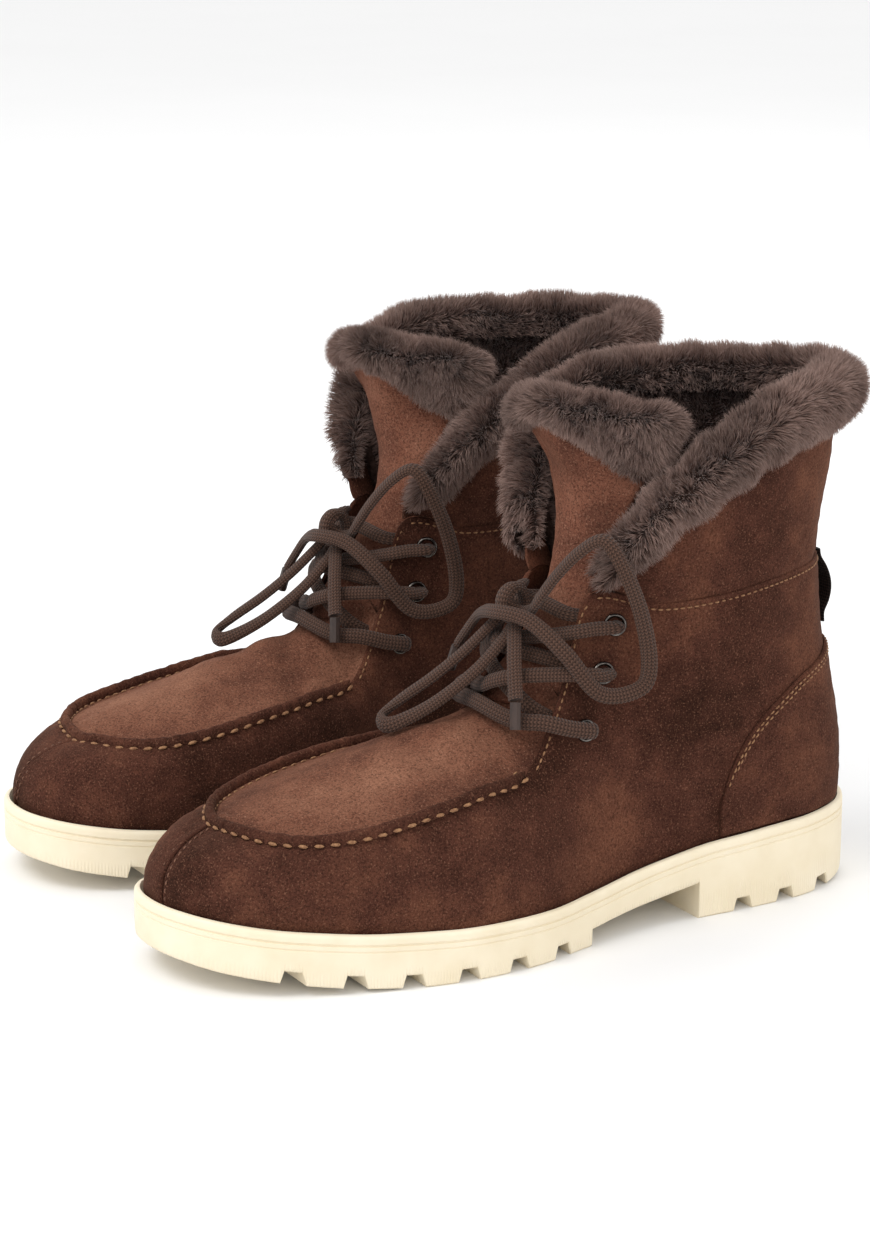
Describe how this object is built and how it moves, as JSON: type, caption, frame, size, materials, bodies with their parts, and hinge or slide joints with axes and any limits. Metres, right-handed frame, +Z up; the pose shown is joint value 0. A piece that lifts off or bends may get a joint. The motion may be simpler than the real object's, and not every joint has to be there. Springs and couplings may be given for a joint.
{
  "type": "insulated boots",
  "caption": "Pair of dark brown suede lace-up boots with moccasin toes, fur lining turned out at the cuff, and cream lugged cup soles.",
  "frame": {"origin": "on the ground, centred under the pair's overall box without the laces", "axes": "+Y from toes to heels, +Z up, +X toward the left boot"},
  "size_m": [0.2668, 0.3119, 0.2148],
  "materials": {
    "rubber_sole": "matte, ribbed edges",
    "suede": "napped suede, dark brown",
    "suede_light": "napped suede, lighter brown",
    "shearling": "long curly pile, taupe",
    "board": "matte fibre board",
    "steel": "brushed",
    "gunmetal": "dark plated, glossy rim",
    "lace_braid": "ribbed flat-round braid, matte",
    "aglet": "glossy dark film",
    "webbing": "plain-woven webbing, matte"
  },
  "bodies": {
    "left_boot": {"left_outsole": "rubber_sole", "left_shank": "steel", "left_insole_board": "board", "left_footbed": "shearling", "left_heel_counter": "board", "left_toe_puff": "board", "left_wall_lining": "shearling", "left_quarter_lateral": "suede", "left_quarter_medial": "suede", "left_heel_panel": "suede", "left_apron": "suede_light", "left_apron_lining": "shearling", "left_apron_seam": "suede", "left_collar": "suede", "left_collar_lining": "shearling", "left_shearling_cuff": "shearling", "left_tongue": "suede_light", "left_pull_loop": "webbing", "left_eyelet_lateral_1": "gunmetal", "left_eyelet_lateral_2": "gunmetal", "left_eyelet_lateral_3": "gunmetal", "left_eyelet_medial_1": "gunmetal", "left_eyelet_medial_2": "gunmetal", "left_eyelet_medial_3": "gunmetal", "left_lace": "lace_braid", "left_aglet_1": "aglet", "left_aglet_2": "aglet"},
    "left_tongue_top": {"left_tongue_flap": "suede_light", "left_tongue_fur": "shearling"},
    "right_boot": {"right_outsole": "rubber_sole", "right_shank": "steel", "right_insole_board": "board", "right_footbed": "shearling", "right_heel_counter": "board", "right_toe_puff": "board", "right_wall_lining": "shearling", "right_quarter_lateral": "suede", "right_quarter_medial": "suede", "right_heel_panel": "suede", "right_apron": "suede_light", "right_apron_lining": "shearling", "right_apron_seam": "suede", "right_collar": "suede", "right_collar_lining": "shearling", "right_shearling_cuff": "shearling", "right_tongue": "suede_light", "right_pull_loop": "webbing", "right_eyelet_lateral_1": "gunmetal", "right_eyelet_lateral_2": "gunmetal", "right_eyelet_lateral_3": "gunmetal", "right_eyelet_medial_1": "gunmetal", "right_eyelet_medial_2": "gunmetal", "right_eyelet_medial_3": "gunmetal", "right_lace": "lace_braid", "right_aglet_1": "aglet", "right_aglet_2": "aglet"},
    "right_tongue_top": {"right_tongue_flap": "suede_light", "right_tongue_fur": "shearling"}
  },
  "joints": [
    {"name": "right_boot_lift", "type": "slide", "parent": "left_boot", "child": "right_boot", "axis": [0, 0, 1], "range_m": [0, 0.3]},
    {"name": "left_tongue_hinge", "type": "hinge", "parent": "left_boot", "child": "left_tongue_top", "pos_m": [0.07575, 0.0201, 0.156], "axis": [1, 0, 0], "range_deg": [0, 35]},
    {"name": "right_tongue_hinge", "type": "hinge", "parent": "right_boot", "child": "right_tongue_top", "pos_m": [-0.07275, 0.0201, 0.156], "axis": [1, 0, 0], "range_deg": [0, 35]}
  ]
}
